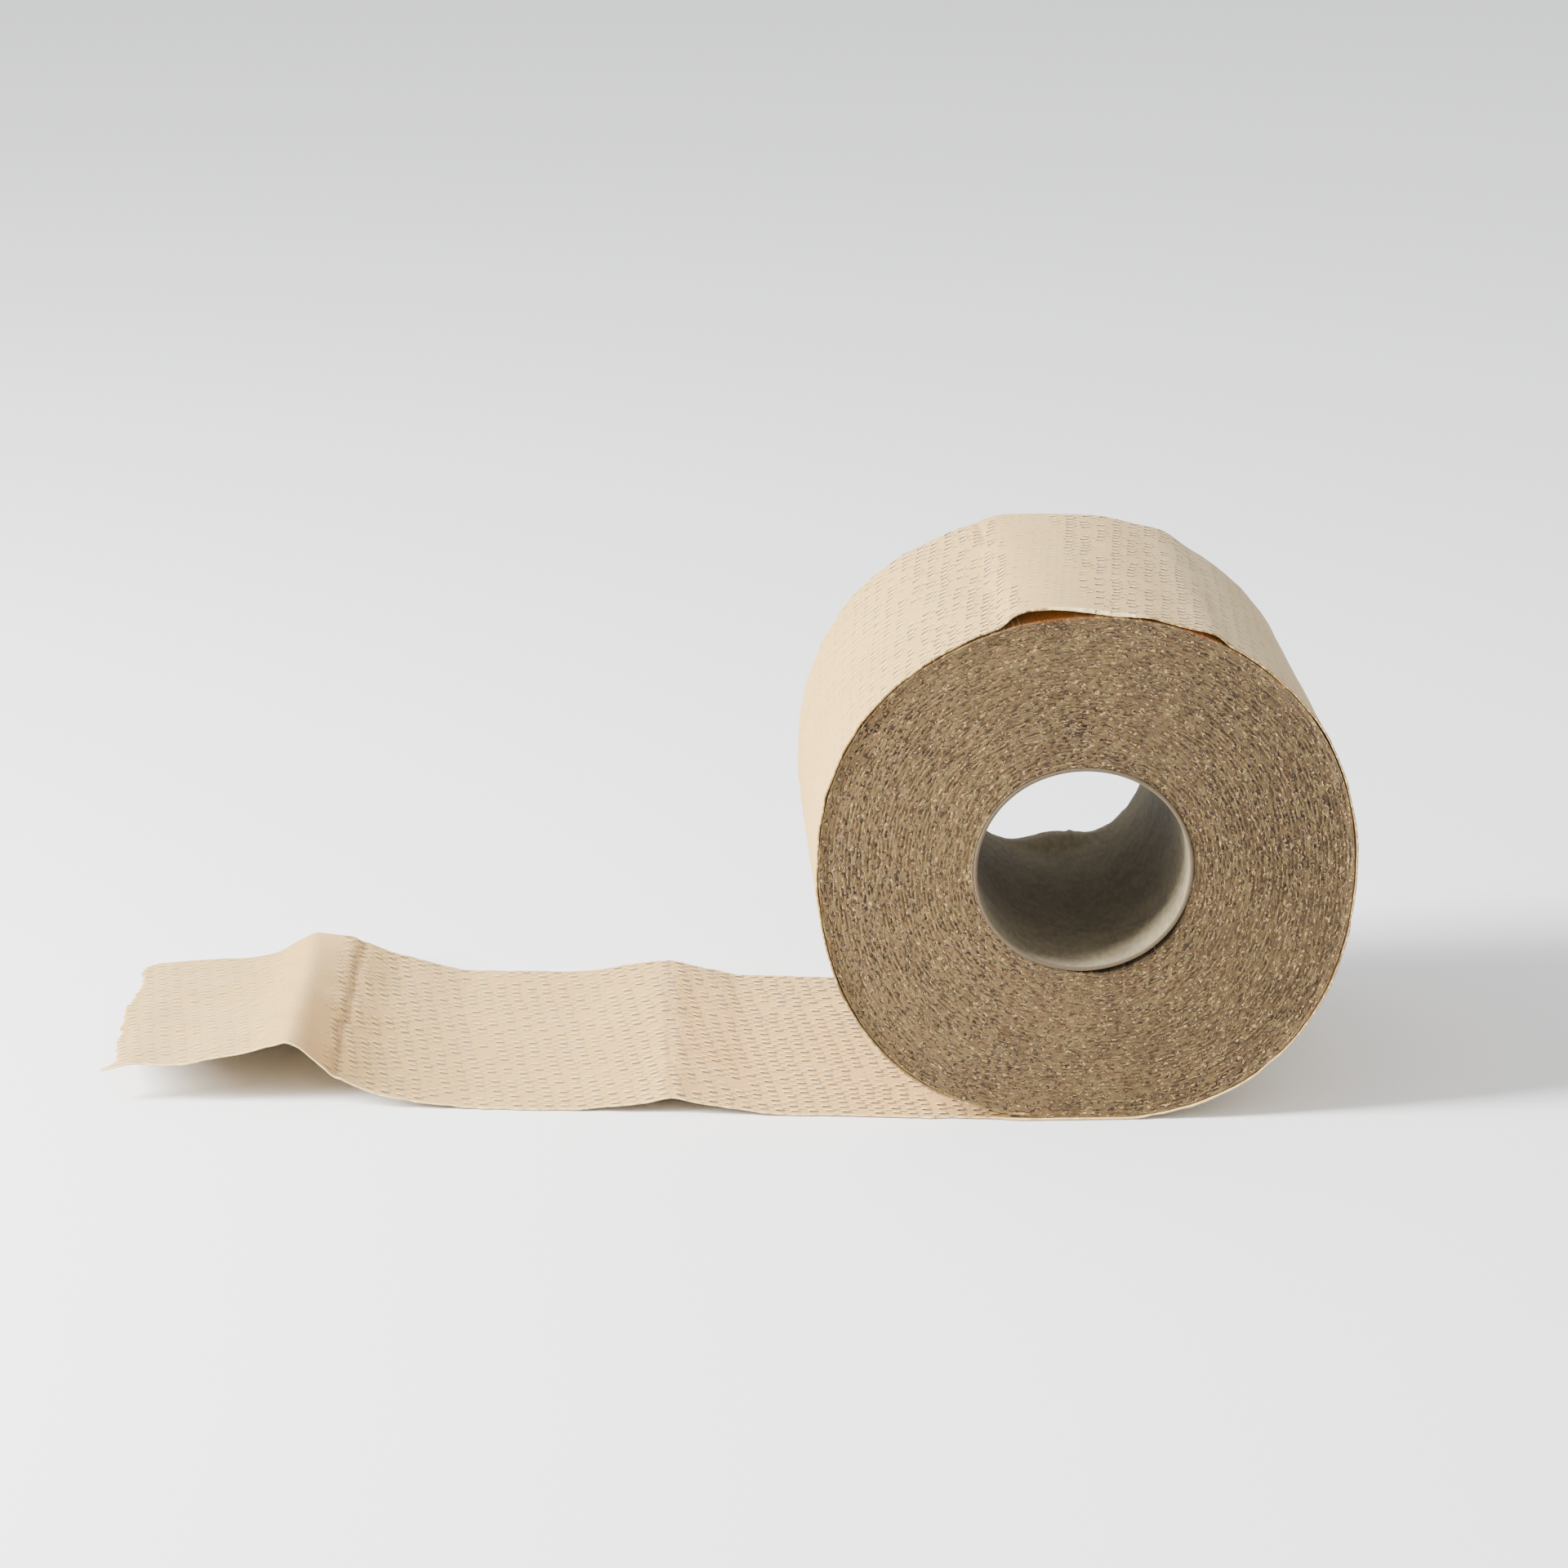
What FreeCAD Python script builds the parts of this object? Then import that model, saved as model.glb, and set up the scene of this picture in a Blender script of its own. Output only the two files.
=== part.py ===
"""Toilet paper roll lying on its side, with its loose end trailing over the floor.

The core's axis runs along Y, and the open end that faces the viewer is at -Y. Z is up. The origin
is on the core's axis, half way along it. All lengths are in millimetres and angles in degrees.
"""
import FreeCAD, Part
import os
from math import atan, cos, degrees, exp, pi, radians, sin

Vector = FreeCAD.Vector

# The roll as a whole. It has sagged: wider than high, with four soft corners, and pressed flat
# where it rests on the floor.
roll_width = 93.0
mean_radius = 52.8
floor_press = 0.46
core_rise = 1.1
core_shift = 0.6
oval = 0.9
squareness = 0.8
unevenness = 0.24
sheet_thickness = 0.5
outline_step = 5.0

# The cardboard core: a thin tube whose far rim is splayed out, and pushed in at the bottom.
core_diameter = 42.4
core_wall = 0.8
splay_length = 6.0
splay = 1.2
dent_depth = 3.0
dent_angle = 275.0
dent_spread = 34.0

# The opening between the core and the first turn, at the lower right.
slack_depth = 0.9
slack_start = 260.0
slack_end = 350.0

# The loose outer turn over the top: one wide gap on the left and a narrow one on the right.
wide_gap = 1.8
wide_gap_start = 87.0
wide_gap_end = 109.0
narrow_gap = 0.6
narrow_gap_start = 57.0
narrow_gap_end = 84.0
lift_before_gaps = 10.0
lift_after_gaps = 15.0

# Both ends of the roll: the turns' edges lie in a spiral band that is sunk between proud ones.
band_turns = 4.5
band_width = 2.7
band_tip_width = 0.4
band_depth = 0.4
first_turn_share = 0.07
last_turn_share = 0.95

# The loose end, measured square off the roll from the line where it leaves it. Its side edges run
# askew, and its folds and its torn edge lie along the roll.
tail_leaves_at = -10.0
tail_skew = 0.1
tail_length = 183.5
ridge_start = 46.0
ridge_top = 70.3
ridge_end = 91.5
ridge_height = 3.0
ridge_flank = 0.33
hump_start = 111.5
hump_top = 146.2
hump_height_near = 12.7
hump_height_far = 7.8
end_height_near = 7.4
end_height_far = 0.4

# The hump's curve, as shares of the run and of the height: up to its top, then down to the end.
climb_shape = [(0, 0), (0.25, 0.062), (0.5, 0.24), (0.7, 0.52), (0.88, 0.88), (1, 1)]
descent_shape = [(0.12, 0.80), (0.25, 0.49), (0.4, 0.27), (0.7, 0.075), (1, 0)]

# The torn edge: it is cut back at the near side, and runs out in a point at the corner.
tear_back_near = 1.6
tear_point = 2.6
tear_point_width = 5.0
tear_trim = 0.5
tear_teeth = 18
tear_tooth_depth = 0.9
tear_tooth_change = 0.4
tear_tooth_rhythm = 2.3

core_radius = core_diameter / 2
bore_radius = core_radius - core_wall
half_width = roll_width / 2
loose_start = narrow_gap_start - lift_before_gaps
loose_stop = wide_gap_end + lift_after_gaps


def at(radius, angle, y):
    """Point at a distance from the core's axis, with the angle counted from +X towards +Z."""
    turn = radians(angle)
    return Vector(radius * cos(turn), y, radius * sin(turn))


def outline_radius(angle):
    """Wound paper's outer surface: a circle that is moved off the core, flattened and squared."""
    turn = radians(angle)
    offset = core_shift * cos(turn) - core_rise * sin(turn)
    sag = oval * cos(2 * turn) - squareness * cos(4 * turn) + unevenness * sin(5 * turn)
    return mean_radius + offset + sag


axis_height = outline_radius(270) - floor_press


def turn_radius(angle, share):
    """One turn of the paper: share 0 lies on the core and share 1 is the outer surface."""
    return core_radius + (outline_radius(angle) - core_radius) * share


def swell(angle, start, end):
    """Rises smoothly from 0 at the start angle to 1 half way and back to 0 at the end angle."""
    if angle <= start or angle >= end:
        return 0.0
    return sin(pi * (angle - start) / (end - start)) ** 2


def outer_turn_radius(angle):
    """The outermost turn, which stands off the others over the top and meets them at both ends."""
    sheet = sheet_thickness * min(1.0, 2.0 * swell(angle, loose_start, loose_stop))
    wide = wide_gap * swell(angle, wide_gap_start, wide_gap_end)
    narrow = narrow_gap * swell(angle, narrow_gap_start, narrow_gap_end)
    return outline_radius(angle) + sheet + wide + narrow


def arcs(points):
    """Edges through an odd number of points: each arc starts where the one before it ends."""
    edges = []
    for i in range(0, len(points) - 2, 2):
        edges.append(Part.Arc(points[i], points[i + 1], points[i + 2]).toShape())
    return edges


def spread(start, end):
    """Angles from start to end, an even number of equal steps of about outline_step."""
    steps = 2 * max(1, round((end - start) / outline_step / 2))
    return [start + (end - start) * i / steps for i in range(steps + 1)]


def along_width(face, start, length):
    """Solid made by drawing a face of an end plane along the roll's axis."""
    moved = face.copy()
    moved.translate(Vector(0, start, 0))
    return moved.extrude(Vector(0, length, 0))


def lens(inner, outer, start, end):
    """Through gap between two curves that meet at the start and end angles."""
    low = [at(inner(angle), angle, 0) for angle in spread(start, end)]
    high = [at(outer(angle), angle, 0) for angle in spread(start, end)]
    high[0] = low[0]
    high[-1] = low[-1]
    face = Part.Face(Part.Wire(arcs(low) + arcs(high)[::-1]))
    return along_width(face, -half_width, roll_width)


def wound_paper():
    """The turns as one body, flat where they rest on the floor."""
    points = [at(outer_turn_radius(angle), angle, 0) for angle in spread(0, 360)]
    points[-1] = points[0]
    paper = along_width(Part.Face(Part.Wire(arcs(points))), -half_width, roll_width)
    reach = 2 * mean_radius
    above_floor = Part.makeBox(
        2 * reach, roll_width, reach + axis_height, Vector(-reach, -half_width, -axis_height)
    )
    return paper.common(above_floor)


def core_hole():
    """Room for the core, and the slack between it and the first turn."""
    axis = Vector(0, 1, 0)
    hole = Part.makeCylinder(core_radius, roll_width, Vector(0, -half_width, 0), axis)
    bend = Vector(0, half_width - splay_length, 0)
    mouth = Part.makeCone(core_radius, core_radius + splay, splay_length, bend, axis)

    def core_side(angle):
        return core_radius - core_wall / 2

    def paper_side(angle):
        slack = (slack_depth + core_wall / 2) * swell(angle, slack_start, slack_end)
        return core_side(angle) + slack

    return hole.fuse(mouth).fuse(lens(core_side, paper_side, slack_start, slack_end))


def top_gaps():
    """The two gaps under the loose outer turn."""

    def wide_top(angle):
        return outline_radius(angle) + wide_gap * swell(angle, wide_gap_start, wide_gap_end)

    def narrow_top(angle):
        return outline_radius(angle) + narrow_gap * swell(angle, narrow_gap_start, narrow_gap_end)

    wide = lens(outline_radius, wide_top, wide_gap_start, wide_gap_end)
    narrow = lens(outline_radius, narrow_top, narrow_gap_start, narrow_gap_end)
    return [wide, narrow]


def sunk_band():
    """Spiral band that winds inwards from the outer turn and is narrow at both of its ends."""
    steps_per_turn = 16
    steps = 2 * round(band_turns * steps_per_turn / 2)
    inner = []
    outer = []
    for i in range(steps + 1):
        share = last_turn_share + (first_turn_share - last_turn_share) * i / steps
        angle = tail_angle() + 360.0 * i / steps_per_turn
        middle = turn_radius(angle, share)
        fullness = min(1.0, i / steps_per_turn, (steps - i) / steps_per_turn)
        width = band_tip_width + (band_width - band_tip_width) * fullness
        inner.append(at(middle - width / 2, angle, 0))
        outer.append(at(middle + width / 2, angle, 0))
    first = Part.makeLine(inner[0], outer[0])
    last = Part.makeLine(outer[-1], inner[-1])
    face = Part.Face(Part.Wire([first] + arcs(outer) + [last] + arcs(inner)[::-1]))
    return along_width(face, 0, band_depth)


def tail_angle():
    """Angle round the core's axis of the line where the loose end leaves the roll."""
    return 270.0 + degrees(atan(tail_leaves_at / axis_height))


def tail_spot(along, across, height):
    """Point of the loose end, with its height over the floor."""
    return Vector(tail_leaves_at - along, across + tail_skew * along, height - axis_height)


def tail_edge(across, hump_height, end_height):
    """Closed outline of one side edge of the loose end, which runs off askew from the roll."""

    def spot(along, height):
        return tail_spot(along, across, height + sheet_thickness)

    climb = hump_top - hump_start
    descent = tail_length - hump_top
    fall = hump_height - end_height
    ridge = [
        spot(ridge_start, 0),
        spot((ridge_start + ridge_top) / 2, ridge_flank * ridge_height),
        spot(ridge_top, ridge_height),
        spot((ridge_top + ridge_end) / 2, ridge_flank * ridge_height),
        spot(ridge_end, 0),
    ]
    hump = [spot(hump_start + climb * run, hump_height * rise) for run, rise in climb_shape]
    hump += [spot(hump_top + descent * run, end_height + fall * rise) for run, rise in descent_shape]
    upper = [Part.makeLine(spot(0, 0), spot(ridge_start, 0))] + arcs(ridge)
    upper += [Part.makeLine(spot(ridge_end, 0), spot(hump_start, 0))] + arcs(hump)
    down = Vector(0, 0, -sheet_thickness)
    lower = []
    for edge in reversed(upper):
        copy = edge.copy()
        copy.translate(down)
        lower.append(copy)
    far_end = Part.makeLine(spot(tail_length, end_height), spot(tail_length, end_height) + down)
    near_end = Part.makeLine(spot(0, 0) + down, spot(0, 0))
    return Part.Wire(upper + [far_end] + lower + [near_end])


def torn_off():
    """Everything past the torn edge, which is ragged and has a pointed corner on the near side."""
    below = -1.0
    above = 2 * hump_height_near
    points = []
    steps = 2 * tear_teeth
    for i in range(steps + 1):
        share = i / steps
        across = -half_width + roll_width * share
        cut_back = tear_back_near * (1 - share) ** 1.5
        point = tear_point * exp(-((across + half_width - tear_point_width) / tear_point_width) ** 2)
        unevenly = 1 - tear_tooth_change + tear_tooth_change * sin(tear_tooth_rhythm * i)
        tooth = tear_tooth_depth * (i % 2) * unevenly
        along = tail_length - tear_trim - cut_back + point - tooth
        points.append(tail_spot(along, across, below))
    beyond = tail_length + tear_point + tear_point_width
    points[0].y -= 1
    points[-1].y += 1
    corners = [
        tail_spot(beyond, half_width + 1, below),
        tail_spot(beyond, -half_width - 1, below),
    ]
    outline = Part.makePolygon(points + corners + [points[0]])
    return Part.Face(outline).extrude(Vector(0, 0, above))


def loose_end():
    """The trailing sheet: flat by the roll, with a crisp ridge, a high hump and a torn edge."""
    near = tail_edge(-half_width, hump_height_near, end_height_near)
    far = tail_edge(half_width, hump_height_far, end_height_far)
    return Part.makeLoft([near, far], True, True).cut(torn_off())


def paper_web():
    """The whole strip of paper, from the turn on the core to the torn end, as one solid."""
    paper = wound_paper().cut(core_hole())
    for gap in top_gaps():
        paper = paper.cut(gap)
    front_band = sunk_band()
    front_band.translate(Vector(0, -half_width, 0))
    back_band = sunk_band()
    back_band.translate(Vector(0, half_width - band_depth, 0))
    paper = paper.cut(front_band).cut(back_band)
    return paper.fuse(loose_end()).removeSplitter()


def rim_section(radius, dent, y):
    """Closed outline round the core at one place along it, pushed in around the dent's angle."""
    steps = 4
    first = dent_angle - dent_spread
    last = dent_angle + dent_spread
    angles = [first + (last - first) * i / steps for i in range(steps)]
    angles += [last + (360 - last + first) * i / steps for i in range(steps)]
    points = [at(radius - dent * swell(angle, first, last), angle, y) for angle in angles]
    return Part.Wire(arcs(points + [points[0]]))


def core_length(radius):
    """Solid within one surface of the core: round, then splayed out to the dented rim."""
    bend = half_width - splay_length
    start = Vector(0, -half_width, 0)
    round_part = Part.makeCylinder(radius, roll_width - splay_length, start, Vector(0, 1, 0))
    whole = rim_section(radius, 0, bend)
    dented = rim_section(radius + splay, dent_depth, half_width)
    return round_part.fuse(Part.makeLoft([whole, dented], True, True))


def core_tube():
    """Cardboard tube, round up to the last stretch before its far rim."""
    return core_length(core_radius).cut(core_length(bore_radius))


def save(shape, name):
    """Write one piece to its own file."""
    solids = shape.Solids
    if len(solids) == 1:
        shape = solids[0]
    shape.exportStep("parts/" + name + ".step")
    box = shape.BoundBox
    print(name, "solids", len(solids), "valid", shape.isValid(), "volume", round(shape.Volume, 1))
    print("  x", round(box.XMin, 2), round(box.XMax, 2), "y", round(box.YMin, 2), round(box.YMax, 2),
          "z", round(box.ZMin, 2), round(box.ZMax, 2))


os.makedirs("parts", exist_ok=True)
save(paper_web(), "paper_web")
save(core_tube(), "core_tube")
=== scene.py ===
"""Dressing of a toilet paper roll that lies on its side, with its loose end trailing over the floor.

The file follows the making of the roll: the greyboard core, the turns that are wound on it, and the
outermost turn with its loose end. The floor, the lamps and the camera come last. Shapes are worked
out in millimetres on whole grids of points. X runs to the right, Y along the core away from the
viewer, and Z up. Angles round the core are in degrees and count from +X towards +Z.
"""

import bpy
import numpy as np
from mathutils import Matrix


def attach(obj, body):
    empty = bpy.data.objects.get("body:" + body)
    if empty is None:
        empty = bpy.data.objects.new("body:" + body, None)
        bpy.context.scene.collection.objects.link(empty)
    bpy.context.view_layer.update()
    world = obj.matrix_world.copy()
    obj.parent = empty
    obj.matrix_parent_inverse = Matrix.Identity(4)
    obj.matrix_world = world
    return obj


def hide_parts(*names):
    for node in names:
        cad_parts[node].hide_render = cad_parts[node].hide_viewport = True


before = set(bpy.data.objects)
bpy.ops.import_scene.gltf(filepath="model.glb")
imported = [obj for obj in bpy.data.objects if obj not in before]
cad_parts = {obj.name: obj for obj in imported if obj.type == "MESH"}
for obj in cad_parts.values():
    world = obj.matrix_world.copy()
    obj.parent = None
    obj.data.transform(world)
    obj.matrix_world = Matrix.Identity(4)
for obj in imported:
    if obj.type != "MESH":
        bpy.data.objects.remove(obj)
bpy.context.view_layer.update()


# The core: a thin tube of greyboard, wound in a spiral from glued strips and cut to length with the
# roll. Handling has made it a little oval, splayed its far rim and pushed that in at the bottom.
MILLIMETRE = 0.001
WIDTH = 93.0
EDGE = WIDTH / 2
CORE_RADIUS = 21.15
CORE_WALL = 0.8
CORE_SHIFT = (-0.1, -0.2)
CORE_OVAL = 0.5
CORE_UNEVEN = 0.07
CORE_COLUMNS = 288
CORE_ROWS = 70
RIM_INSET = 0.15
SPLAY = 1.2
SPLAY_LENGTH = 6.0
DENT_DEPTH = 3.0
DENT_LENGTH = 2.2 * SPLAY_LENGTH
DENT_ANGLE = 275.0
DENT_SPREAD = 36.0
NUB_HEIGHT = 0.5
NUB_ANGLE = 287.0
NUB_SPREAD = 2.2
TORN_DEPTH = 0.25
TORN_LENGTH = 1.5
HANDLING = 0.05
SPIRAL_RISE = 0.012
WHOLE_TURN = 6.2832  # radians


def chance(place, seed):
    """Even number from 0 to 1 for each whole place: what follows the point in a large sine."""
    return np.modf(np.abs(np.sin(place * 12.9898 + seed * 78.233 + 1.7) * 43758.5453))[0]


def eased(share):
    """Rises smoothly from 0 to 1 as the share does: three times its square less twice its cube."""
    share = np.clip(share, 0.0, 1.0)
    return share * share * (3.0 - 2.0 * share)


def ripple(place, seed):
    """Smooth random curve from 0 to 1: a chance at each whole place, eased from one to the next."""
    left = np.floor(place)
    return chance(left, seed) + (chance(left + 1, seed) - chance(left, seed)) * eased(place - left)


def cloud(across, along, seed):
    """Smooth random surface from 0 to 1: ripples along whole rows, eased from one row to the next."""
    row = np.floor(across)
    low = ripple(along + 31.0 * row, seed)
    high = ripple(along + 31.0 * (row + 1), seed)
    return low + (high - low) * eased(across - row)


def swell(angle, start, end):
    """Rises from 0 at the start to 1 half way and back to 0 at the end, as a squared sine."""
    return np.sin(np.pi * np.clip((angle - start) / (end - start), 0.0, 1.0)) ** 2


def core_outline(angle):
    """Outer radius of the core: a circle that is shifted a little, made oval and a bit uneven."""
    turn = np.radians(angle)
    shift = CORE_SHIFT[0] * np.cos(turn) + CORE_SHIFT[1] * np.sin(turn)
    uneven = CORE_UNEVEN * (np.sin(2 * turn) - np.cos(4 * turn))
    return CORE_RADIUS + shift + CORE_OVAL * np.cos(2 * turn) + uneven


def core_bend(angle, y):
    """How far the far rim stands off the round tube: splayed out all round, less the dent."""
    reach = eased((y - EDGE + SPLAY_LENGTH) / SPLAY_LENGTH)
    depth = eased((y - EDGE + DENT_LENGTH) / DENT_LENGTH)
    dent = DENT_DEPTH * swell(angle, DENT_ANGLE - DENT_SPREAD, DENT_ANGLE + DENT_SPREAD)
    nub = NUB_HEIGHT * np.exp(-((angle - NUB_ANGLE) / NUB_SPREAD) ** 2)
    torn = TORN_DEPTH * (ripple(angle / 4.0, 3) - 0.5) * eased((y - EDGE + TORN_LENGTH) / TORN_LENGTH)
    return SPLAY * reach - (dent + nub) * depth + torn


def round_the_core(radius, angle, y):
    """Points at a radius and an angle from the core's axis and a place along it."""
    radius, turn, y = np.broadcast_arrays(radius, np.radians(angle), y)
    return np.stack([radius * np.cos(turn), y, radius * np.sin(turn)], -1)


def skin(name, points, ring=True):
    """Object over a grid of points, rows by columns, whose last row joins its first.

    With ring, the last column joins the first too. Without, the rows go out over a sheet's face and
    back under it, and each end is closed by a strip from the face to the underside. The faces are
    turned outwards: the sum over them of corner times area, a multiple of the volume, is above 0.
    """
    rows, columns = points.shape[:2]
    spot = np.arange(rows * columns).reshape(rows, columns)
    start = spot if ring else spot[:, :-1]
    side = np.roll(spot, -1, 1) if ring else spot[:, 1:]
    faces = np.stack([start, side, np.roll(side, -1, 0), np.roll(start, -1, 0)], -1).reshape(-1, 4)
    if not ring:
        half = rows // 2
        top, under = np.arange(half - 1), rows - 1 - np.arange(half - 1)
        first = np.stack([spot[top, 0], spot[top + 1, 0], spot[under - 1, 0], spot[under, 0]], -1)
        last = np.stack([spot[under, -1], spot[under - 1, -1], spot[top + 1, -1], spot[top, -1]], -1)
        faces = np.concatenate([faces, first, last])
    places = points.reshape(-1, 3)
    a, b, c, d = (places[faces[:, corner]] for corner in range(4))
    volume = np.sum(np.cross(c - a, d - b) * (a + b + c + d))
    if volume < 0:
        faces = faces[:, ::-1]
    mesh = bpy.data.meshes.new(name)
    mesh.vertices.add(len(places))
    mesh.vertices.foreach_set("co", (places * MILLIMETRE).astype(np.float32).reshape(-1))
    mesh.loops.add(faces.size)
    mesh.loops.foreach_set("vertex_index", faces.astype(np.int32).reshape(-1))
    mesh.polygons.add(len(faces))
    mesh.polygons.foreach_set("loop_start", np.arange(0, faces.size, 4, dtype=np.int32))
    mesh.polygons.foreach_set("use_smooth", np.ones(len(faces), bool))
    mesh.update(calc_edges=True)
    made = bpy.data.objects.new(name, mesh)
    bpy.context.scene.collection.objects.link(made)
    return made


class Shade:
    """A socket in a material's node tree, so that its sums can be written as plain arithmetic."""

    def __init__(self, socket):
        self.socket = socket

    def node(self, kind, settings, inputs, output=0):
        """Adds a node of this kind, sets it up, feeds it numbers or shades, and gives one output."""
        tree = self.socket.id_data
        made = tree.nodes.new(kind)
        for name, value in settings.items():
            setattr(made, name, value)
        for name, value in inputs.items():
            if isinstance(value, Shade):
                tree.links.new(value.socket, made.inputs[name])
            else:
                made.inputs[name].default_value = value
        return Shade(made.outputs[output])

    def sum(self, operation, *values):
        """A Math node that does this operation on one or two numbers or shades."""
        return self.node("ShaderNodeMath", {"operation": operation}, dict(enumerate(values)))

    def __add__(self, other):
        return self.sum("ADD", self, other)

    def __radd__(self, other):
        return self.sum("ADD", other, self)

    def __sub__(self, other):
        return self.sum("SUBTRACT", self, other)

    def __rsub__(self, other):
        return self.sum("SUBTRACT", other, self)

    def __mul__(self, other):
        return self.sum("MULTIPLY", self, other)

    def __rmul__(self, other):
        return self.sum("MULTIPLY", other, self)

    def __truediv__(self, other):
        return self.sum("DIVIDE", self, other)

    def __rtruediv__(self, other):
        return self.sum("DIVIDE", other, self)

    def whole(self):
        """The whole number at or below this."""
        return self.sum("FLOOR", self)

    def parted(self):
        """What is left of this over the whole number below it."""
        return self.sum("FRACT", self)

    def size(self):
        """This without its sign."""
        return self.sum("ABSOLUTE", self)

    def between(self, low, high):
        """0 below low, 1 above high, and eased from one to the other."""
        limits = {1: low, 2: high, 3: 0.0, 4: 1.0}
        settings = {"interpolation_type": "SMOOTHSTEP"}
        return self.node("ShaderNodeMapRange", settings, {0: self, **limits})

    def read(self, name):
        """The numbers that were kept under this name for the points of the piece."""
        return self.node("ShaderNodeAttribute", {"attribute_name": name}, {}, 2)

    def tint(self, plain, tinted):
        """The plain colour where this is 0, going over to the tinted one where it is 1."""
        colours = {6: plain, 7: tinted}
        return self.node("ShaderNodeMix", {"data_type": "RGBA"}, {0: self, **colours}, 2)

    def grain(self, y, z, detail=2.0, roughness=0.5):
        """Noise from 0 to 1 over three shades that serve as the place, one feature to each unit."""
        place = self.node("ShaderNodeCombineXYZ", {}, {0: self, 1: y, 2: z})
        noise = {"Vector": place, "Scale": 1.0, "Detail": detail, "Roughness": roughness}
        return self.node("ShaderNodeTexNoise", {}, noise)

    def feed(self, shader, name):
        """Links this to the shader's input of that name."""
        self.socket.id_data.links.new(self.socket, shader.inputs[name])


def colour(red, green, blue):
    """A colour for a socket: each light of a screen colour, 0 to 255, on the screen's 2.4 curve."""
    light = (np.array([red, green, blue]) / 255.0 + 0.055) / 1.055
    return (*(float(value) for value in light**2.4), 1.0)


def stock(piece, roughness, sheen):
    """New paper or board material on a piece: its shader, and its place in millimetres."""
    made = bpy.data.materials.new(piece.name)
    made.use_nodes = True
    shader = made.node_tree.nodes["Principled BSDF"]
    shader.inputs["Roughness"].default_value = roughness
    shader.inputs["Specular IOR Level"].default_value = 0.25
    shader.inputs["Sheen Weight"].default_value = sheen
    shader.inputs["Sheen Roughness"].default_value = 0.6
    piece.data.materials.append(made)
    place = Shade(made.node_tree.nodes.new("ShaderNodeTexCoord").outputs["Object"])
    parts = place.node("ShaderNodeSeparateXYZ", {}, {0: place})
    return shader, [Shade(socket) * (1 / MILLIMETRE) for socket in parts.socket.node.outputs]


def coat(shader, tone, relief, height):
    """Feeds the colour, and as a bump a relief that is worth this many millimetres at 1."""
    tone.feed(shader, "Base Color")
    bump = relief.node("ShaderNodeBump", {}, {"Height": relief, "Distance": height * MILLIMETRE})
    bump.feed(shader, "Normal")


def core_points():
    """Wall section carried round the axis: out along one face, over the rim and back inside.

    The marks of handling stop beside angle 0, because their cloud doesn't meet itself there.
    """
    angle = np.arange(CORE_COLUMNS) * 360.0 / CORE_COLUMNS
    straight = np.linspace(RIM_INSET - EDGE, EDGE - RIM_INSET, CORE_ROWS)
    outside = np.stack([straight, np.zeros(CORE_ROWS)], -1)
    rim_out, rim_depth = np.array([0.13, 0.15, 0.13]), np.array([0.1, 0.4, 0.7])
    far = np.stack([EDGE - RIM_INSET + rim_out, rim_depth], -1)
    inside = np.stack([straight[::-1], np.full(CORE_ROWS, CORE_WALL)], -1)
    near = far[::-1] * [-1, 1]
    section = np.concatenate([outside, far, inside, near])
    y, depth = section[:, :1], section[:, 1:]
    away_from_start = (angle > 3) * (angle < 355)
    handled = HANDLING * (cloud(y / 6.0, angle / 9.0, 11) - 0.5) * away_from_start
    return round_the_core(core_outline(angle) - depth + core_bend(angle, y) + handled, angle, y)


BOARD_DARK = colour(102, 91, 69)
BOARD_LIGHT = colour(119, 107, 82)
BOARD_FIBRE = colour(145, 131, 100)
BOARD_FLECK = colour(82, 72, 58)
BOARD_SEAM = colour(92, 84, 70)
BOARD_CUT = colour(92, 78, 58)

core = skin("core", core_points())
shader, (x, y, z) = stock(core, 0.85, 0.05)
turn = y.node("ShaderNodeMath", {"operation": "ARCTAN2"}, {0: z, 1: x})
spiral = (y * SPIRAL_RISE + turn / WHOLE_TURN).parted()
seam = 1.0 - (spiral - 0.5).size().between(0.0, 0.012)
fibre = x.grain(y * 0.35, z, 4.0, 0.6)
mottle = (x * 0.16).grain(y * 0.16, z * 0.16, 3.0, 0.6)
fleck = (x * 1.3).grain(y * 1.3, z * 1.3, 1.0).between(0.66, 0.72)
board = mottle.between(0.3, 0.7).tint(BOARD_DARK, BOARD_LIGHT)
board = (fibre.between(0.35, 0.75) * 0.5).tint(board, BOARD_FIBRE)
board = (fleck * 0.35).tint(board, BOARD_FLECK)
board = (seam * 0.5).tint(board, BOARD_SEAM)
ends = (y.size() - (EDGE - 0.25)).between(0.0, 0.2)
board = (ends * (0.5 + fibre)).tint(board, BOARD_CUT)
coat(shader, board, fibre * 0.7 + mottle * 0.3 - seam * 0.4, 0.12)
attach(core, "root")
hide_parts("core_tube")


# The wound turns: one strip of embossed tissue, wound about forty times round the core. Each end shows
# the strip's cut edges, crimped and pressed, with short slits where the turns part, in painted shade.
OUTER_RADIUS = 52.8
ROLL_SHIFT = (0.6, -1.1)
ROLL_FLAT = 0.9
ROLL_SQUARE = 0.8
ROLL_UNEVEN = 0.24
AXIS_HEIGHT = 51.5
TURNS = 42
SHEET = 0.5
LOOSE_OVER = (45.0, 125.0)
WIDE_GAP = (84.0, 111.0)
NARROW_GAP = (55.0, 74.0)
CORE_GAP = 0.9
CORE_GAP_OVER = (254.0, 350.0)
CORE_GAP_AT_BACK = 0.4
RINGS = 200
ROLL_COLUMNS = 480
WOUND_DEPTH = 31.0
CUT_DEPTH = 0.35
CUT_SLOPE = 0.2
CUT_LIP = 0.4
SLIT_DEPTH = 0.35
HEAVE = 0.5
CRIMP = 0.10
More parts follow.
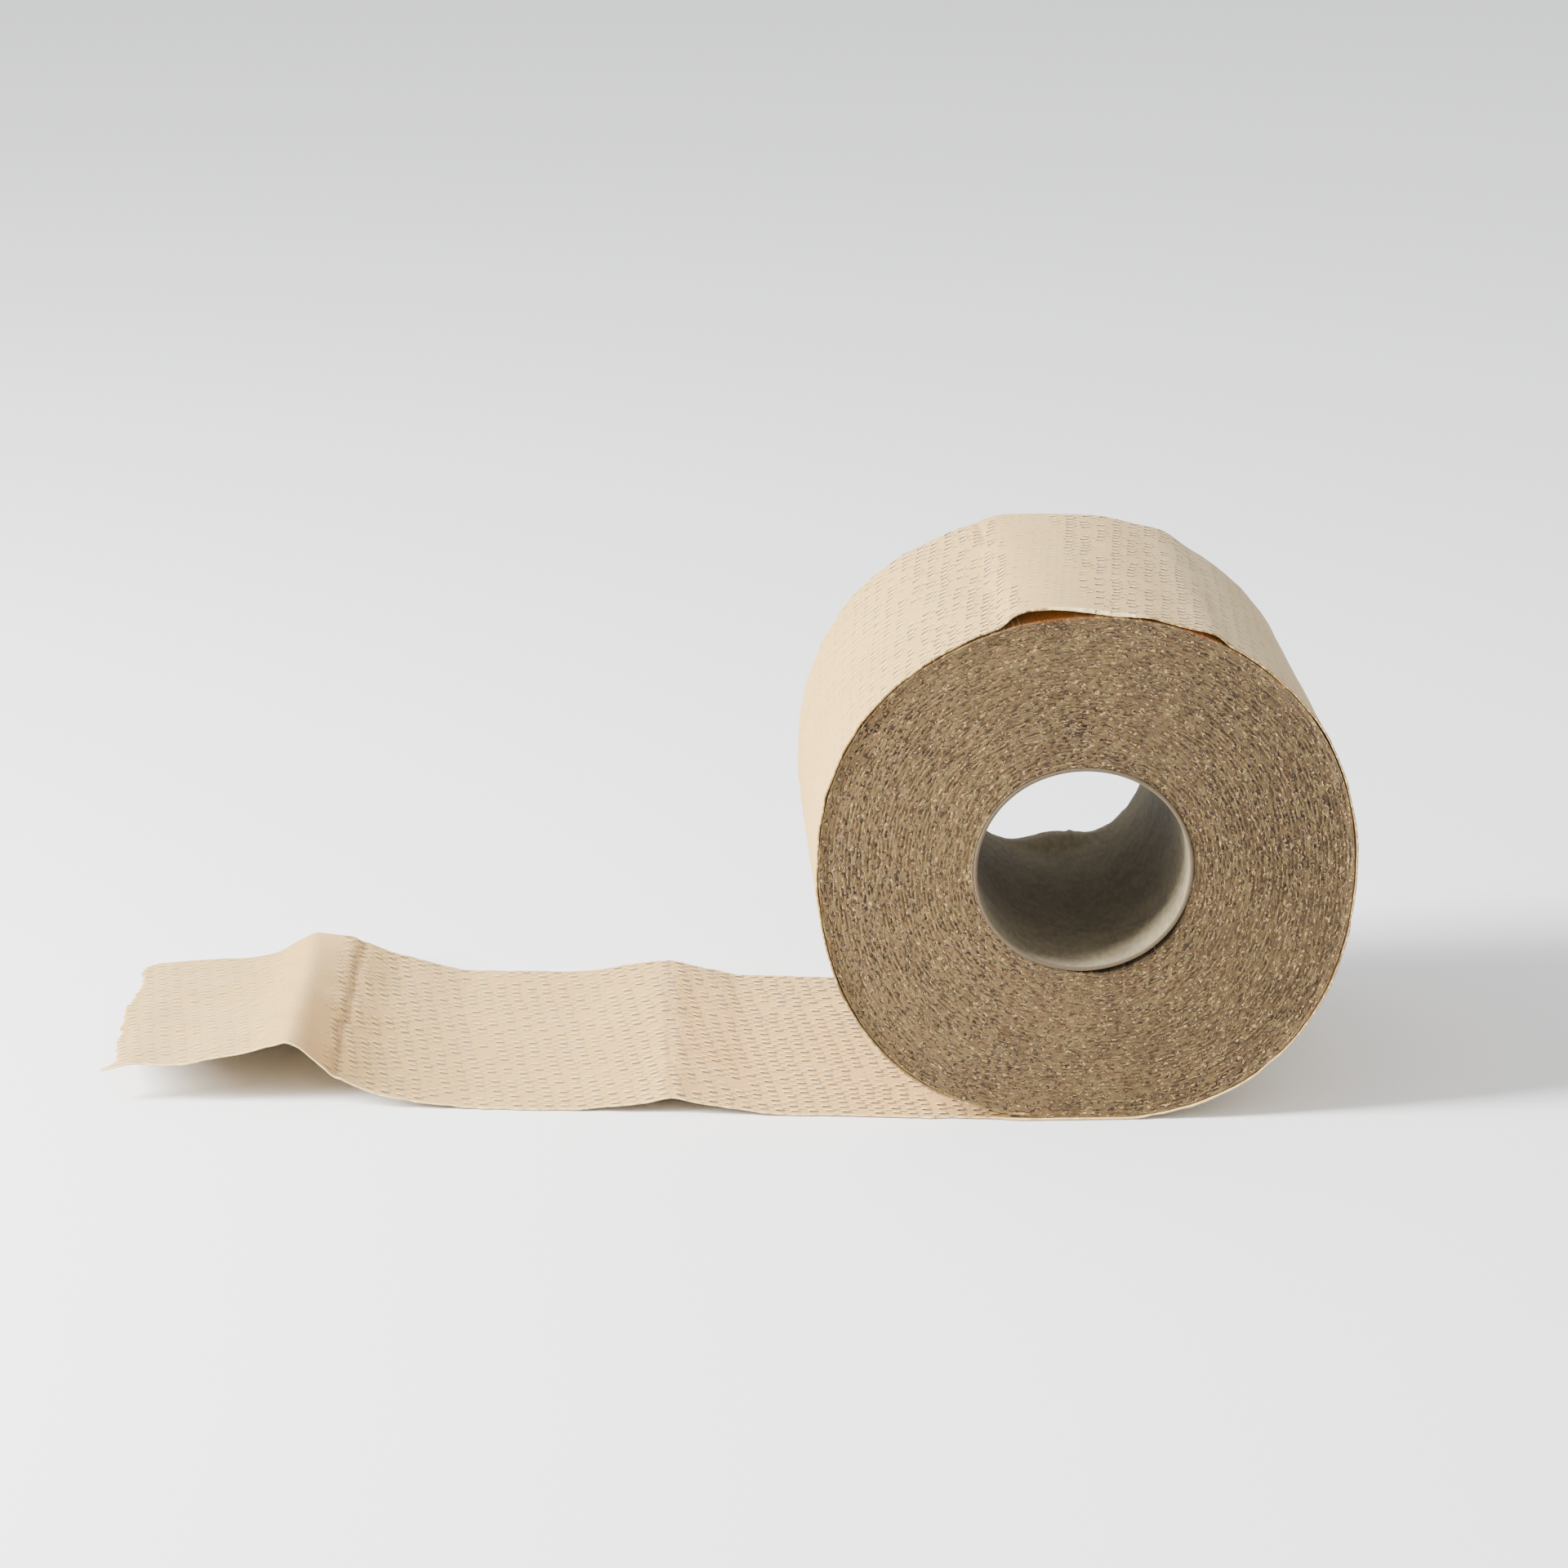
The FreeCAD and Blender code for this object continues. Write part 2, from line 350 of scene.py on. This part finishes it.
OUT_TO_MIDDLE = np.array([0.55, 0.25, 0.0])[:, None]
OUTER_TO_INNER = np.array([0.66, 0.33])[:, None]
BORE_ROOM = 0.02


def roll_outline(angle):
    """Radius of the wound paper: a circle moved off the core, flattened, squared and uneven."""
    turn = np.radians(angle)
    sag = ROLL_FLAT * np.cos(2 * turn) - ROLL_SQUARE * np.cos(4 * turn) + ROLL_UNEVEN * np.sin(5 * turn)
    return OUTER_RADIUS + ROLL_SHIFT[0] * np.cos(turn) + ROLL_SHIFT[1] * np.sin(turn) + sag


def loosened(angle):
    """1 over most of the loose stretch and 0 away from it: twice its swell, capped at 1."""
    return np.minimum(1.0, 2.0 * swell(angle, *LOOSE_OVER))


def body_radius(angle):
    """The turns under the outermost sheet, and on the floor no lower than that sheet leaves room for."""
    radius = roll_outline(angle) - SHEET * (1 - loosened(angle))
    lowest = (AXIS_HEIGHT - SHEET) / np.maximum(-np.sin(np.radians(angle)), 0.01)
    return np.minimum(radius, lowest)


def strip_length(turn):
    """Millimetres of strip from the core to a number of turns: the mean radius times the angle."""
    pitch = (OUTER_RADIUS - CORE_RADIUS) / TURNS
    return WHOLE_TURN * (CORE_RADIUS * turn + pitch * turn * turn / 2)


def wound_end(front):
    """Half of the roll as rings of points, and what its material reads of them.

    The rings go from the core over the end to the outer face and back through the middle. On the end
    a ring's share runs from 0 at the core to 1 outside, and share times turns plus the angle's part
    of a whole turn is whole on each line where two turns meet. Along such a line the strip's length
    sets a chance, and where that is high the line opens into a slit.
    """
    angle = np.arange(ROLL_COLUMNS) * 360.0 / ROLL_COLUMNS
    share = np.linspace(0, 1, RINGS)[:, None]
    opened = np.minimum(1.0, 1.5 * swell(angle, *CORE_GAP_OVER))
    gap = CORE_GAP * opened * (1.0 if front else CORE_GAP_AT_BACK)
    inner = core_outline(angle) + gap + (0.0 if front else SPLAY)
    outer = body_radius(angle)
    plain_radius = inner + (outer - inner) * share
    x, z = plain_radius * np.cos(np.radians(angle)), plain_radius * np.sin(np.radians(angle))

    # Where two turns meet, and how far they part there.
    count = share * TURNS + angle / 360.0
    line = np.round(count)
    near_line = (0.5 + 0.5 * np.cos(2 * np.pi * (count - line))) ** 1.3
    on_line = strip_length(line - angle / 360.0)
    loose = cloud(x / 14.0 + 40, z / 14.0 + 40, 21 if front else 121)
    openness = eased((ripple(on_line / 0.9, 31) - 0.45) / 0.35) * (0.55 + 0.45 * loose)
    slit = near_line * openness

    # How far each cut edge stands proud, and how it is crimped to and fro.
    on_edge = strip_length(np.floor(count) + 0.5 - angle / 360.0)
    proud = 0.16 * (ripple(on_edge / 1.5, 41) - 0.5) + 0.20 * (ripple(on_edge / 0.8, 43) - 0.5)
    proud += 0.06 * (cloud(count * 0.9, on_edge / 12.0, 45) - 0.5)
    heave = HEAVE * (cloud(x / 22.0 + 40, z / 22.0 + 40, 51) - 0.5)
    depth = CUT_DEPTH + CUT_SLOPE * share + SLIT_DEPTH * slit - proud * (1 - near_line) - heave
    depth -= CUT_LIP * eased((share - 0.94) / 0.06)
    depth *= eased(share / 0.012 + 0.2)
    depth = np.maximum(depth, 0.02)
    crimp = CRIMP * (ripple(on_edge / 1.9, 47) - 0.5) / WOUND_DEPTH
    moved = np.clip(share + crimp * (share > 0.01) * (share < 0.99), 0, 1)
    end = round_the_core(inner + (outer - inner) * moved, angle, depth - EDGE)

    # The outer face, the section at the roll's middle, and the bore round the core.
    side = round_the_core(outer, angle, OUT_TO_MIDDLE * -EDGE)
    middle = round_the_core(inner + (outer - inner) * OUTER_TO_INNER, angle, 0.0)
    bore = round_the_core(core_outline(angle) + BORE_ROOM + gap, angle, OUT_TO_MIDDLE[::-1] * -EDGE)
    points = np.concatenate([end, side, middle, bore])
    if not front:
        points = points * [1, -1, 1]

    rest = np.zeros((len(points) - RINGS, ROLL_COLUMNS))
    last_turn = np.full((len(rest) - len(bore), ROLL_COLUMNS), float(TURNS))
    covered = swell(angle, *WIDE_GAP) + 0.8 * swell(angle, *NARROW_GAP)
    # Cut edges that stand proud get a painted highlight.
    painted_proud_highlight = np.clip(proud * 1.6 + 0.5, 0, 1) * (1 - near_line)
    readings = {
        "slit": np.concatenate([slit, rest]),
        "count": np.concatenate([share * TURNS + 0 * slit, last_turn, rest[:len(bore)]]),
        "painted_proud_highlight": np.concatenate([painted_proud_highlight, rest]),
        "ease": np.concatenate([loose, rest]),
        "covered": covered + np.zeros((len(points), 1)),
    }
    return points, readings


def mark(piece, readings):
    """Keeps named numbers for the points of a piece, one a point, for its material to read."""
    for name, values in readings.items():
        kept = piece.data.attributes.new(name, "FLOAT", "POINT")
        kept.data.foreach_set("value", np.ascontiguousarray(values, np.float32).reshape(-1))


CUT_DARK = colour(82, 63, 37)
CUT_LIGHT = colour(110, 86, 53)
CUT_GREENISH = colour(112, 97, 58)
CUT_FIBRE = colour(86, 62, 36)
CUT_PAINTED_HIGHLIGHT = colour(178, 144, 92)
CUT_PROUD_HIGHLIGHT = colour(176, 144, 96)
CUT_PARTING_SHADE = colour(38, 23, 11)
CUT_SLIT_SHADE = colour(60, 38, 18)
SHADE_BY_THE_CORE = colour(44, 34, 22)
OUTER_FACE = colour(186, 150, 94)
SHADE_UNDER_COVER = colour(120, 66, 18)
NO_GLOW = (0.0, 0.0, 0.0, 1.0)
GAP_GLOW = (0.055, 0.021, 0.004, 1.0)

for name, front in (("turns_front", True), ("turns_back", False)):
    points, readings = wound_end(front)
    half = skin(name, points)
    mark(half, readings)
    shader, (x, y, z) = stock(half, 0.95, 0.1)
    slit, count, painted_proud_highlight, ease, covered = (x.read(reading) for reading in readings)
    # Short dashes run along the turns and sway a little: painted highlights, and painted shade where turns
    # part.
    sway = (x * 0.45).grain(z * 0.45, count * 0.9, 1.0, 0.5) - 0.5
    wound = (count + sway * 4.0) * 1.95
    light = (x * 0.95).grain(z * 0.95, wound + 0.62, 1.0, 0.5).between(0.555, 0.63)
    painted_parting_shade = (x * 0.95).grain(z * 0.95, wound, 1.0, 0.5).between(0.545, 0.61) * (0.65 + 0.35 * ease)
    fibre = (x * 2.6).grain(z * 2.6, count * 3.0, 2.0, 0.6)
    patch = (x * 0.11 + 7.0).grain(z * 0.11, y * 0.11, 3.0, 0.6)
    green = (x * 0.3 + 19.0).grain(z * 0.3, count * 0.4, 2.0, 0.5)
    # Random patches, with a painted falloff of light: darker towards the right and a little towards the
    # top.
    patches_and_painted_falloff = 0.42 - x * 0.0085 - z * 0.002 + (patch - 0.5) * 1.6
    tone = patches_and_painted_falloff.between(0.0, 1.0).tint(CUT_DARK, CUT_LIGHT)
    tone = (green.between(0.5, 0.62) * 0.5).tint(tone, CUT_GREENISH)
    tone = (fibre.between(0.3, 0.8) * 0.3).tint(tone, CUT_FIBRE)
    tone = (light * 0.75).tint(tone, CUT_PAINTED_HIGHLIGHT)
    tone = (painted_proud_highlight.between(0.5, 0.95) * 0.15).tint(tone, CUT_PROUD_HIGHLIGHT)
    tone = painted_parting_shade.tint(tone, CUT_PARTING_SHADE)
    # Painted shade in the slits where the turns part.
    tone = (slit.between(0.2, 0.8) * 0.3).tint(tone, CUT_SLIT_SHADE)
    # Painted shade in the gap beside the core.
    tone = ((1.0 - count.between(0.1, 0.5)) * 0.6).tint(tone, SHADE_BY_THE_CORE)
    # The last turn's face is plain paper. Under the loose turn it gets painted warm shade and a painted
    # glow.
    outermost = (count - (TURNS - 0.5)).between(0.0, 0.4)
    tone = (outermost * (0.25 + 0.75 * light)).tint(tone, OUTER_FACE)
    tone = (outermost * covered).tint(tone, SHADE_UNDER_COVER)
    coat(shader, tone, light * 0.6 - painted_parting_shade + fibre * 0.5, 0.22)
    painted_glow = covered.between(0.2, 1.0) * (count - (TURNS - 0.3)).between(0.0, 0.2)
    painted_glow.tint(NO_GLOW, GAP_GLOW).feed(shader, "Emission Color")
    shader.inputs["Emission Strength"].default_value = 1.0
    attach(half, "root")
    if front:
        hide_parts("paper_web")


# The outermost turn and the loose end: the last half metre of the same strip, two thin plies embossed
# together. It lies loose over the top, leaves the roll at the bottom and was torn off by hand.
LEAVES_AT = -10.0
SKEW = 0.1
PLY = 0.4
CLEARANCE = 0.02
EVEN_LENGTH = 174.0
LEAVES_ANGLE = 279.0
TUCKED_ANGLE = 619.0
TUCK_DEPTH = 0.75
TUCK_FROM = 592.0
TUCK_OVER = 24.0
SWAY_FROM = 285.0
MEAN_RADIUS = 52.0
CREASE_AT = 137.6
CREASE_DEPTH = 0.45
RIDGE_AT = 71.0
TOP_FOLD_ANGLE = 107.0
TOP_FOLD_DEPTH = 0.3
PLUMP = 0.45
PLUMP_OVER = (72.0, 104.0)
SHADE_SIDE_BELOW = 52.0
TAIL_BARE = (138.5, 149.0)
ROLL_BARE = (88.0, 102.0)
TORN_COLUMNS = 12
TAIL_COLUMNS = 176
TURN_COLUMNS = 312
EMBOSS_ALONG = 3.3
EMBOSS_ACROSS = 2.9
LEAN_FROM = 240.0
ON_FLOOR_COLUMN = 100
# Where the torn edge lies: places across and along the tail.
TORN_AT = [(-46.5, 184.2), (-44.6, 182.4), (-41, 181.4), (-30, 182.4), (-16, 182.6), (-5, 183.0),
           (12, 182.9), (27, 182.1), (40, 182.4), (44.5, 181.2), (46.5, 179.4)]
# Room under the loose turn, at the front and at the back: angles and heights.
FRONT_GAP = [(45, 0), (57, 0.05), (59, 0.3), (61.5, 0.6), (64, 0.5), (66.5, 0.2), (70, 0.05), (73, 0.15),
             (79, 0.35), (83, 0.45), (87, 0.8), (90.6, 1.2), (94.3, 1.6), (98, 1.95), (101.7, 2.05),
             (104, 1.95), (106, 1.55), (107.6, 0.8), (109.2, 0.1), (111, 0), (125, 0)]
BACK_GAP = [(45, 0), (55, 0), (60, 0.4), (64, 0.5), (70, 0.1), (76, 0), (84, 0), (92, 0.1), (98, 0.5),
            (102, 0.7), (106, 0.3), (112, 0), (125, 0)]
# The tail's two edges, each lifted by the ridge and the hump: places along and heights.
NEAR_EDGE = [(0, 0), (46.7, 0), (51.6, 0.24), (56.4, 0.81), (61.3, 1.56), (66.1, 2.3), (70.2, 3.05),
             (71.6, 2.9), (75.8, 1.75), (80.6, 1.14), (85.5, 0.52), (90.4, 0.08), (100, 0), (109.8, 0),
             (114.7, 0.4), (119.5, 0.81), (124.4, 1.56), (129.3, 2.65), (134.1, 4.6), (138.9, 7.2),
             (141.6, 9.4), (144.7, 12.0), (147.1, 12.85), (148.5, 12.6), (150.8, 12.1), (153.5, 11.2),
             (158.4, 9.9), (163.3, 8.9), (168.2, 8.0), (173.1, 7.7), (177.5, 7.7), (182.9, 6.6), (190, 5.8)]
FAR_EDGE = [(0, 0), (53.8, 0), (59.1, 1.04), (64.3, 2.04), (69.6, 3.2), (74.8, 2.7), (80.1, 1.7),
            (85.4, 0.7), (90.6, 0.2), (101, 0), (111.7, 0), (117, 0.8), (122.3, 2.0), (127.6, 3.0),
            (132.8, 4.9), (138, 7.0), (143.3, 7.8), (145.1, 7.95), (148.7, 6.25), (154, 3.2),
            (159.4, 2.0), (164.7, 1.5), (170, 1.05), (175.3, 0.75), (181, 0.1), (190, 0)]
# How deep the pressed dashes show: places along the tail, then angles round the roll.
TAIL_EMBOSS = ([0, 25, 60, 90, 112, 135, 150, 175], [1.6, 1.5, 1.15, 0.85, 0.8, 0.9, 0.5, 0.65])
ROLL_EMBOSS = ([10, 42, 62, 75, 104, 124, 140, 160], [0.45, 0.65, 1.3, 1.5, 2.1, 1.9, 0.9, 0.4])


def through(spots, place):
    """Smooth curve through spots: a cubic between each two, level at each top and bottom.

    The curve's slope at a spot is twice the product of the slopes beside it over their sum.
    """
    at, height = np.array(spots, float).T
    step = np.diff(at)
    slope = np.diff(height) / step
    slant = np.zeros(len(at))
    same = slope[1:] * slope[:-1] > 0
    both = 2 * slope[1:] * slope[:-1] / np.where(same, slope[1:] + slope[:-1], 1.0)
    slant[1:-1] = np.where(same, both, 0.0)
    left = np.clip(np.searchsorted(at, place, "right") - 1, 0, len(step) - 1)
    part = np.clip((place - at[left]) / step[left], 0, 1)
    start = slant[left] * step[left] * part * (1 - part) ** 2
    end = slant[left + 1] * step[left] * part**2 * (1 - part)
    return height[left] + (height[left + 1] - height[left]) * eased(part) + start - end


def by_the_edges(v, reach):
    """1 on the strip's far edge, -1 on its near edge, and fading inwards over this reach."""
    return np.exp(-(EDGE - np.abs(v)) / reach) * np.sign(v)


def tail(v):
    """The loose end's middle surface over the floor, for places v across, and its readings.

    A column's place along is measured square off the roll, and its rows drift askew. Its height runs
    from the near edge's curve to the far edge's, with a pucker on it and a crease before the hump.
    """
    share = (v + EDGE) / WIDTH
    teeth = 0.7 * (ripple(v / 1.3, 61) - 0.6) + 0.6 * (ripple(v / 0.55, 62) - 0.5)
    teeth += 0.8 * (ripple(v / 6.0, 63) - 0.5)
    inwards = np.linspace(1, 0, TORN_COLUMNS + 1)[:-1]
    torn = EVEN_LENGTH + (through(TORN_AT, v) + teeth - EVEN_LENGTH) * inwards
    along = np.concatenate([torn, np.linspace(EVEN_LENGTH, 0, TAIL_COLUMNS) + 0 * v], 1)
    wander = 0.55 * (ripple(along / 7.0, 71) - 0.5) + 0.5 * (ripple(along / 2.2, 72) - 0.5)
    height = through(NEAR_EDGE, along) * (1 - share) + through(FAR_EDGE, along) * share
    pucker = 0.5 * (cloud(along / 9.0, (v + 60) / 9.0, 73) - 0.5) * (0.3 + np.minimum(height / 3, 1.0))
    crease = CREASE_AT - 2.0 * share + 0.9 * (ripple(v / 7.0, 75) - 0.5) + 0.5 * (ripple(v / 2.5, 76) - 0.5)
    fold_and_shade = np.exp(-((along - crease) / 0.8) ** 2)
    ridge = np.exp(-((along - RIDGE_AT + 1.2 * share) / 0.7) ** 2)
    lift = np.maximum(height + pucker - CREASE_DEPTH * fold_and_shade, 0.0)
    y = v + by_the_edges(v, 1.6) * wander + SKEW * along
    points = np.stack([LEAVES_AT - along, y, lift - AXIS_HEIGHT + PLY / 2 + CLEARANCE], -1)
    bare = 1 - 0.9 * eased((along - TAIL_BARE[0]) / 2.0) * (1 - eased((along - TAIL_BARE[1]) / 3.0))
    none = 0 * along
    readings = {"fold_and_shade": fold_and_shade + 0.5 * ridge, "emboss": np.interp(along, *TAIL_EMBOSS) * bare}
    return points, {**readings, "on_roll": none, "plump": none, "shade_side": none}


def outermost_turn(v):
    """The middle surface of the turn round the roll, for places v across, and its readings.

    Its angle grows from the bottom, and its radius follows the outline, the loose stretch over the
    top and, at the end, the step under the turn above it.
    """
    share = (v + EDGE) / WIDTH
    angle = np.linspace(LEAVES_ANGLE, TUCKED_ANGLE, TURN_COLUMNS) + 0 * v
    over = angle - 360.0
    started = eased((angle - SWAY_FROM) / 20)
    gap = through(FRONT_GAP, over) * (1 - share) + through(BACK_GAP, over) * share
    radius = roll_outline(angle) - PLY / 2 + SHEET * loosened(over) + gap
    radius -= TUCK_DEPTH * eased((angle - TUCK_FROM) / TUCK_OVER)
    arc = np.radians(angle) * MEAN_RADIUS
    radius += 0.25 * cloud(arc / 11.0, (v + 60) / 13.0, 77) * started
    rim = by_the_edges(v, 1.2)
    radius += 0.3 * np.abs(rim) * (ripple(arc / 3.3, 83) - 0.3) * started
    fold_and_shade = np.exp(-((over - TOP_FOLD_ANGLE) / 0.5) ** 2) * eased((v - 18) / 20)
    radius -= TOP_FOLD_DEPTH * fold_and_shade
    sway = 0.35 * (ripple(arc / 4.0, 81) - 0.5) + 0.45 * (ripple(arc / 1.5, 82) - 0.5)
    points = round_the_core(radius, angle, v + rim * sway)
    points[..., 2] = np.maximum(points[..., 2], -AXIS_HEIGHT + PLY / 2 + CLEARANCE)
    bare = 1 - 0.85 * eased((over - ROLL_BARE[0]) / 2.0) * (1 - eased((over - ROLL_BARE[1]) / 2.0))
    readings = {
        "fold_and_shade": 0.8 * fold_and_shade,
        "emboss": np.interp(over, *ROLL_EMBOSS) * bare,
        "on_roll": eased((angle - LEAVES_ANGLE) / 60),
        "plump": np.exp(-(v + EDGE) / 2.5) * swell(over, *PLUMP_OVER),
        "shade_side": 1 - eased((over - SHADE_SIDE_BELOW) / 26.0),
    }
    return points, readings


def strip_middle(v):
    """The whole strip's middle surface: the tail, a straight stretch under the roll, and the turn."""
    over_floor, tail_readings = tail(v)
    round_roll, turn_readings = outermost_turn(v)
    start, end = over_floor[:, -1:], round_roll[:, :1]
    straight = start + (end - start) * np.linspace(0, 1, 18)[1:-1, None]
    plain = {name: np.zeros(straight.shape[:2]) for name in tail_readings}
    plain["emboss"] += 0.8
    parts = (tail_readings, plain, turn_readings)
    readings = {name: np.concatenate([part[name] for part in parts], 1) for name in plain}
    return np.concatenate([over_floor, straight, round_roll], 1), readings


def over_and_under(values):
    """Numbers for the rows of the strip's face and, in turned order, for those of its underside."""
    return np.concatenate([values, values[::-1]])


rim_rows = EDGE - np.array([0.0, 0.4, 1.0])
inner_rows = np.linspace(1.9 - EDGE, EDGE - 1.9, 88)
across = np.concatenate([-rim_rows, inner_rows, rim_rows[::-1]])[:, None]
middle, readings = strip_middle(across)
halfway = len(across) // 2
steps = np.linalg.norm(np.diff(middle[halfway], axis=0), axis=-1)
along = np.concatenate([[0.0], np.cumsum(steps)]) + 0 * across
normal = np.cross(np.gradient(middle, axis=1), np.gradient(middle, axis=0))
normal /= np.linalg.norm(normal, axis=-1, keepdims=True)
normal *= np.sign(normal[halfway, ON_FLOOR_COLUMN, 2])  # up, where the tail lies on the floor
half_ply = PLY / 2 * (1 - 0.25 * np.exp(-(EDGE - np.abs(across)) / 0.4))[..., None]
swollen = half_ply + PLUMP * readings["plump"][..., None]
plies = np.concatenate([middle + normal * swollen, (middle - normal * half_ply)[::-1]])
web = skin("loose_sheet", plies, ring=False)
readings = {**readings, "along": along, "across": across + 0 * along}
under = np.concatenate([0 * along, 1 - readings["on_roll"]])
mark(web, {**{name: over_and_under(values) for name, values in readings.items()}, "under": under})

TISSUE_DARK = colour(190, 149, 75)
TISSUE_LIGHT = colour(199, 157, 83)
TISSUE_COOL = colour(186, 157, 84)
TISSUE_FIBRE = colour(211, 172, 104)
TISSUE_SHADE_SIDE = colour(188, 159, 106)
TISSUE_PAINTED_HIGHLIGHT = colour(242, 212, 140)
TISSUE_DIMPLE_SHADE = colour(98, 70, 38)
TISSUE_SPECK = colour(120, 86, 50)
TISSUE_FOLD_SHADE = colour(130, 94, 52)
EDGE_SHADE = colour(136, 106, 62)
EDGE_FRAYED_HIGHLIGHT = colour(236, 204, 138)
EDGE_PLUMP_HIGHLIGHT = colour(248, 220, 160)
UNDERSIDE_SHADE = colour(158, 142, 114)

shader, (x, *_) = stock(web, 0.92, 0.15)
fold_and_shade, emboss, on_roll, plump, shade_side, along, across = (x.read(reading) for reading in readings)
leaning = (along - LEAN_FROM) * on_roll
u = (along + across * 0.10) / EMBOSS_ALONG
v = (across + leaning * 0.25) / EMBOSS_ACROSS


def dashes(u, v, long, high, kept):
    """Rows of short pressed dashes, one to each cell: an oval whose place and strength vary."""
    row, column = v.whole() + 0.5, u.whole() + 0.5
    pick = (column * 0.37).grain(row * 0.53, 5.0, 0.0)
    left = ((u - column) + (pick - 0.5) * 0.5) * (EMBOSS_ALONG / (long - on_roll * 0.3))
    jump = (column * 0.61 + 7.0).grain(row * 0.71, 9.0, 0.0)
    up = ((v - row) + jump * 0.5 - 0.25) * (EMBOSS_ACROSS / high)
    away = left * left + up * up
    luck = (row * 1.37 + 3.0).grain(column * 1.73, 2.0, 0.0) - on_roll * 0.05
    return (1.0 - away.between(0.2, 1.0)) * luck.between(0.5 - kept, 0.62 - kept)


# The pressed dashes are painted in shade, and offset copies beside them are painted highlights.
odd = ((u.whole() + v.whole() + 0.5) / 2.0).parted().between(0.4, 0.6)
dimples_and_shade = dashes(u, v, 1.2, 0.66, 0.20) * (1.0 - odd * 0.4)
dimples_and_shade = (dimples_and_shade + dashes(u + 0.5, v + 0.5, 0.95, 0.5, 0.08) * 0.4) * emboss
painted_highlight = dashes(u + 0.08, v - 0.32, 1.15, 0.58, 0.20)
painted_highlight = (painted_highlight + dashes(u + 0.58, v + 0.18, 0.9, 0.48, 0.08) * 0.4) * emboss
soft = (along * 0.05).grain(across * 0.05, 1.0, 3.0, 0.55)
cool = (along * 0.22).grain(across * 0.34, 4.0, 1.0)
fibre = (along * 1.2).grain(across * 2.4, 2.0, 3.0, 0.65)
speck = (along * 0.9).grain(across * 0.9, 8.0, 0.0).between(0.74, 0.79)
tone = soft.between(0.3, 0.7).tint(TISSUE_DARK, TISSUE_LIGHT)
tone = (cool.between(0.45, 0.6) * 0.3).tint(tone, TISSUE_COOL)
tone = (fibre.between(0.35, 0.75) * 0.3).tint(tone, TISSUE_FIBRE)
# The side of the roll away from the lamps gets a paler, greyer painted tone for how it looks in shade.
tone = shade_side.tint(tone, TISSUE_SHADE_SIDE)
tone = (painted_highlight * 0.9).tint(tone, TISSUE_PAINTED_HIGHLIGHT)
tone = dimples_and_shade.tint(tone, TISSUE_DIMPLE_SHADE)
tone = (speck * 0.6).tint(tone, TISSUE_SPECK)
# Painted shade along the creases, the ridge and the fold on top.
tone = (fold_and_shade * 0.6).tint(tone, TISSUE_FOLD_SHADE)
# The strip's long edges: painted brown shade round the roll, and painted highlights on pale frayed spots
# and on the plump rim over the gap.
edge = (across.size() - (EDGE - 0.35)).between(0.0, 0.3)
scallop = (along * 0.8).grain(2.0, 5.0, 1.0).between(0.5, 0.6)
tone = (edge * on_roll * 0.85).tint(tone, EDGE_SHADE)
frayed_edge_highlight = edge * (1.0 - on_roll * (1.0 - scallop * 0.6))
tone = (frayed_edge_highlight * (0.4 + fibre)).tint(tone, EDGE_FRAYED_HIGHLIGHT)
rim = (0.0 - across - (EDGE - 0.8)).between(0.0, 0.4) * plump.between(0.1, 0.5)
tone = (rim * 0.8).tint(tone, EDGE_PLUMP_HIGHLIGHT)
# The strip's underside gets a greyer painted tone for how it looks in shade.
tone = (x.read("under") * 0.7).tint(tone, UNDERSIDE_SHADE)
coat(shader, tone, fibre * 0.25 - dimples_and_shade * 1.2 + painted_highlight * 0.6 - fold_and_shade * 0.6, 0.35)
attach(web, "root")


# Floor, lamps and camera: a plain pale floor, two soft lamps on the left, one high and one low, and a
# white room. The camera stands where the photo was taken from, far off, and looks 15 degrees down.
FLOOR_HEIGHT = -51.6
FLOOR_SIZE = 6.0
CAMERA_PLACE = (-0.09376, -1.04509, 0.28543)
CAMERA_TURN = (75.0, 0.0, -2.0209)
LENS = 122.64
SENSOR = 36.0

bpy.ops.mesh.primitive_plane_add(size=FLOOR_SIZE, location=(0, 0, FLOOR_HEIGHT * MILLIMETRE))
floor = bpy.context.object
floor.name = "floor"
paint = bpy.data.materials.new("floor_paint")
paint.use_nodes = True
floor_shader = paint.node_tree.nodes["Principled BSDF"]
floor_shader.inputs["Base Color"].default_value = (0.94, 0.94, 0.94, 1.0)
floor_shader.inputs["Roughness"].default_value = 0.9
floor_shader.inputs["Specular IOR Level"].default_value = 0.1
floor.data.materials.append(paint)

world = bpy.data.worlds.new("room")
bpy.context.scene.world = world
world.use_nodes = True
world.node_tree.nodes["Background"].inputs["Color"].default_value = (0.96, 0.98, 1.0, 1.0)
world.node_tree.nodes["Background"].inputs["Strength"].default_value = 1.15


def lamp(name, place, size, power):
    """Square soft light at a place in metres that faces the roll."""
    light = bpy.data.lights.new(name, "AREA")
    light.size = size
    light.energy = power
    made = bpy.data.objects.new(name, light)
    bpy.context.scene.collection.objects.link(made)
    made.location = place
    made.rotation_euler = (-made.location).to_track_quat("-Z", "Y").to_euler()


lamp("key", (-1.1, -0.33, 0.96), 0.4, 42.0)
lamp("side", (-0.98, -0.19, 0.345), 0.38, 35.0)

view = bpy.data.cameras.new("view")
view.lens = LENS
view.sensor_width = SENSOR
view.clip_start = 0.05
camera = bpy.data.objects.new("view", view)
bpy.context.scene.collection.objects.link(camera)
camera.location = CAMERA_PLACE
camera.rotation_euler = np.radians(CAMERA_TURN)
bpy.context.scene.camera = camera
